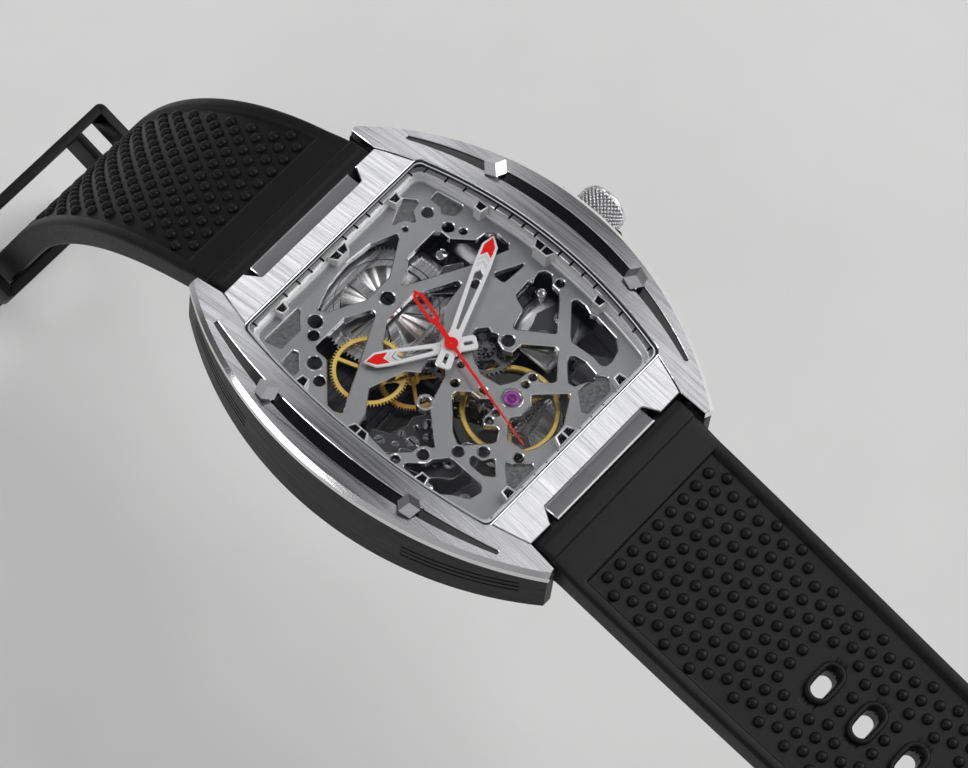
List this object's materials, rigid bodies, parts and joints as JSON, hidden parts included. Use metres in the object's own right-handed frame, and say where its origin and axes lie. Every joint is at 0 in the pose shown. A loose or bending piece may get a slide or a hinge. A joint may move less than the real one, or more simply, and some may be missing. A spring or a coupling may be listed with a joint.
{
  "type": "wristwatch",
  "caption": "Skeleton-dial automatic wristwatch with a barrel-shaped steel and black case, open gear train, red-tipped hands and a studded rubber strap with a pin buckle.",
  "frame": {"origin": "where the hands' axis meets the case-back plane", "axes": "+X to 3 o'clock and the crown, +Y to 12 o'clock, +Z out of the dial"},
  "size_m": [0.0485, 0.1821, 0.0714],
  "materials": {
    "black_case": "satin black plating",
    "brushed_steel": "brushed",
    "polished_steel": "polished",
    "blasted_steel": "sand-blasted grey",
    "dark_steel": "dark",
    "black_gloss": "gloss",
    "crystal": "clear",
    "gasket_black": "matte",
    "gold": "gilt",
    "ruby": "ruby",
    "hand_white": "satin white and polished",
    "red_lacquer": "gloss red",
    "strap_rubber": "matte black",
    "ring_plastic": "matte dark grey"
  },
  "bodies": {
    "case": {"middle_case": "black_case", "rail_left": "brushed_steel", "rail_right": "brushed_steel", "centre_frame": "brushed_steel", "rail_inlays": "black_gloss", "rail_studs": "polished_steel", "front_crystal": "crystal", "crystal_gasket": "gasket_black", "case_back_ring": "polished_steel", "back_crystal": "crystal", "case_back_screws": "polished_steel", "lug_bars": "polished_steel", "spring_bars": "polished_steel", "crown_tube": "polished_steel", "chapter_ring": "polished_steel", "front_plate": "blasted_steel", "front_plate_screws": "polished_steel", "movement_ring": "ring_plastic", "barrel_bridge": "brushed_steel", "train_bridge": "brushed_steel", "balance_cock": "brushed_steel", "plate_pillars": "polished_steel", "bridge_screws": "polished_steel", "pivot_jewels": "ruby"},
    "upper_strap": {"strap_12": "strap_rubber"},
    "lower_strap": {"strap_6": "strap_rubber"},
    "keeper": {"sliding_keeper": "strap_rubber"},
    "buckle": {"buckle_frame": "polished_steel", "buckle_pin": "polished_steel"},
    "tang": {"buckle_tang": "polished_steel"},
    "setting": {"setting_lever": "polished_steel"},
    "winding_crown": {"crown": "polished_steel", "winding_stem": "polished_steel"},
    "stem_pinion": {"winding_pinion": "polished_steel"},
    "crown_gear": {"crown_wheel": "dark_steel"},
    "ratchet": {"ratchet_wheel": "dark_steel", "barrel_arbor": "polished_steel"},
    "barrel": {"barrel_drum": "brushed_steel", "barrel_cover": "brushed_steel", "mainspring": "dark_steel"},
    "intermediate": {"intermediate_wheel": "gold", "intermediate_pinion": "polished_steel"},
    "third": {"third_wheel": "gold", "third_pinion": "polished_steel"},
    "seconds": {"seconds_wheel": "dark_steel", "seconds_arbor": "polished_steel", "second_hand": "red_lacquer"},
    "escape": {"escape_wheel": "polished_steel"},
    "pallets": {"pallet_fork": "polished_steel"},
    "balance": {"balance_wheel": "gold", "balance_staff": "polished_steel", "hairspring": "dark_steel"},
    "minute": {"cannon_pinion": "polished_steel", "minute_hand": "hand_white"},
    "minute_gear": {"minute_wheel": "dark_steel"},
    "hour": {"hour_wheel": "dark_steel", "hour_hand": "hand_white"},
    "rotor": {"rotor_arm": "brushed_steel", "rotor_weight": "polished_steel"}
  },
  "joints": [
    {"name": "strap_12_hinge", "type": "hinge", "parent": "case", "child": "upper_strap", "pos_m": [0, 0.0226, 0.0063], "axis": [-1, 0, 0], "range_deg": [0, 35]},
    {"name": "strap_6_hinge", "type": "hinge", "parent": "case", "child": "lower_strap", "pos_m": [0, -0.0226, 0.0063], "axis": [1, 0, 0], "range_deg": [0, 45]},
    {"name": "keeper_slide", "type": "slide", "parent": "upper_strap", "child": "keeper", "axis": [0, 0.342, -0.9397], "range_m": [-0.009, 0.0035]},
    {"name": "buckle_hinge", "type": "hinge", "parent": "upper_strap", "child": "buckle", "pos_m": [0, 0.06155, -0.04699], "axis": [1, 0, 0], "range_deg": [-60, 20]},
    {"name": "tang_hinge", "type": "hinge", "parent": "buckle", "child": "tang", "pos_m": [0, 0.06155, -0.04699], "axis": [1, 0, 0], "range_deg": [0, 50]},
    {"name": "crown_pull", "type": "slide", "parent": "case", "child": "setting", "axis": [1, 0, 0], "range_m": [0, 0.0012]},
    {"name": "crown_turn", "type": "hinge", "parent": "setting", "child": "winding_crown", "pos_m": [0.025, 0, 0.005], "axis": [1, 0, 0], "continuous": true},
    {"name": "winding_pinion_spin", "type": "hinge", "parent": "case", "child": "stem_pinion", "pos_m": [0.0094, 0, 0.005], "axis": [1, 0, 0], "continuous": true},
    {"name": "crown_wheel_spin", "type": "hinge", "parent": "case", "child": "crown_gear", "pos_m": [0.00579, 0, 0.0023], "axis": [0, 0, 1], "continuous": true},
    {"name": "ratchet_spin", "type": "hinge", "parent": "case", "child": "ratchet", "pos_m": [0, 0.009, 0.0023], "axis": [0, 0, 1], "continuous": true},
    {"name": "rotor_spin", "type": "hinge", "parent": "case", "child": "rotor", "pos_m": [0, 0, 0.0015], "axis": [0, 0, 1], "continuous": true},
    {"name": "seconds_spin", "type": "hinge", "parent": "case", "child": "seconds", "pos_m": [0, 0, 0.0036], "axis": [0, 0, 1], "continuous": true},
    {"name": "barrel_spin", "type": "hinge", "parent": "case", "child": "barrel", "pos_m": [0, 0.009, 0.005], "axis": [0, 0, 1], "continuous": true},
    {"name": "intermediate_spin", "type": "hinge", "parent": "case", "child": "intermediate", "pos_m": [-0.00725, 0.00506, 0.0062], "axis": [0, 0, 1], "continuous": true},
    {"name": "third_spin", "type": "hinge", "parent": "case", "child": "third", "pos_m": [-0.00389, 0.00172, 0.0039], "axis": [0, 0, 1], "continuous": true},
    {"name": "escape_spin", "type": "hinge", "parent": "case", "child": "escape", "pos_m": [-0.002, -0.00303, 0.003], "axis": [0, 0, 1], "continuous": true},
    {"name": "pallet_swing", "type": "hinge", "parent": "case", "child": "pallets", "pos_m": [-0.00108, -0.00564, 0.003], "axis": [0, 0, 1], "range_deg": [-4, 4]},
    {"name": "balance_swing", "type": "hinge", "parent": "case", "child": "balance", "pos_m": [0, -0.0087, 0.0047], "axis": [0, 0, 1], "range_deg": [-270, 270], "stiffness_Nm_per_rad": 0.0000006, "deforming": ["hairspring"]},
    {"name": "minute_spin", "type": "hinge", "parent": "case", "child": "minute", "pos_m": [0, 0, 0.0086], "axis": [0, 0, 1], "continuous": true},
    {"name": "minute_wheel_spin", "type": "hinge", "parent": "case", "child": "minute_gear", "pos_m": [0.0032, -0.0024, 0.0058], "axis": [0, 0, 1], "continuous": true},
    {"name": "hour_spin", "type": "hinge", "parent": "case", "child": "hour", "pos_m": [0, 0, 0.0063], "axis": [0, 0, 1], "continuous": true}
  ],
  "couplings": [
    {"joint": "winding_pinion_spin", "follows": "crown_turn", "ratio": 1},
    {"joint": "crown_wheel_spin", "follows": "crown_turn", "ratio": 0.34146},
    {"joint": "ratchet_spin", "follows": "crown_turn", "ratio": -0.21212},
    {"joint": "third_spin", "follows": "seconds_spin", "ratio": -0.13333},
    {"joint": "intermediate_spin", "follows": "seconds_spin", "ratio": 0.017143},
    {"joint": "barrel_spin", "follows": "seconds_spin", "ratio": -0.0025},
    {"joint": "escape_spin", "follows": "seconds_spin", "ratio": -12},
    {"joint": "minute_wheel_spin", "follows": "minute_spin", "ratio": -0.33333},
    {"joint": "hour_spin", "follows": "minute_spin", "ratio": 0.083333}
  ]
}
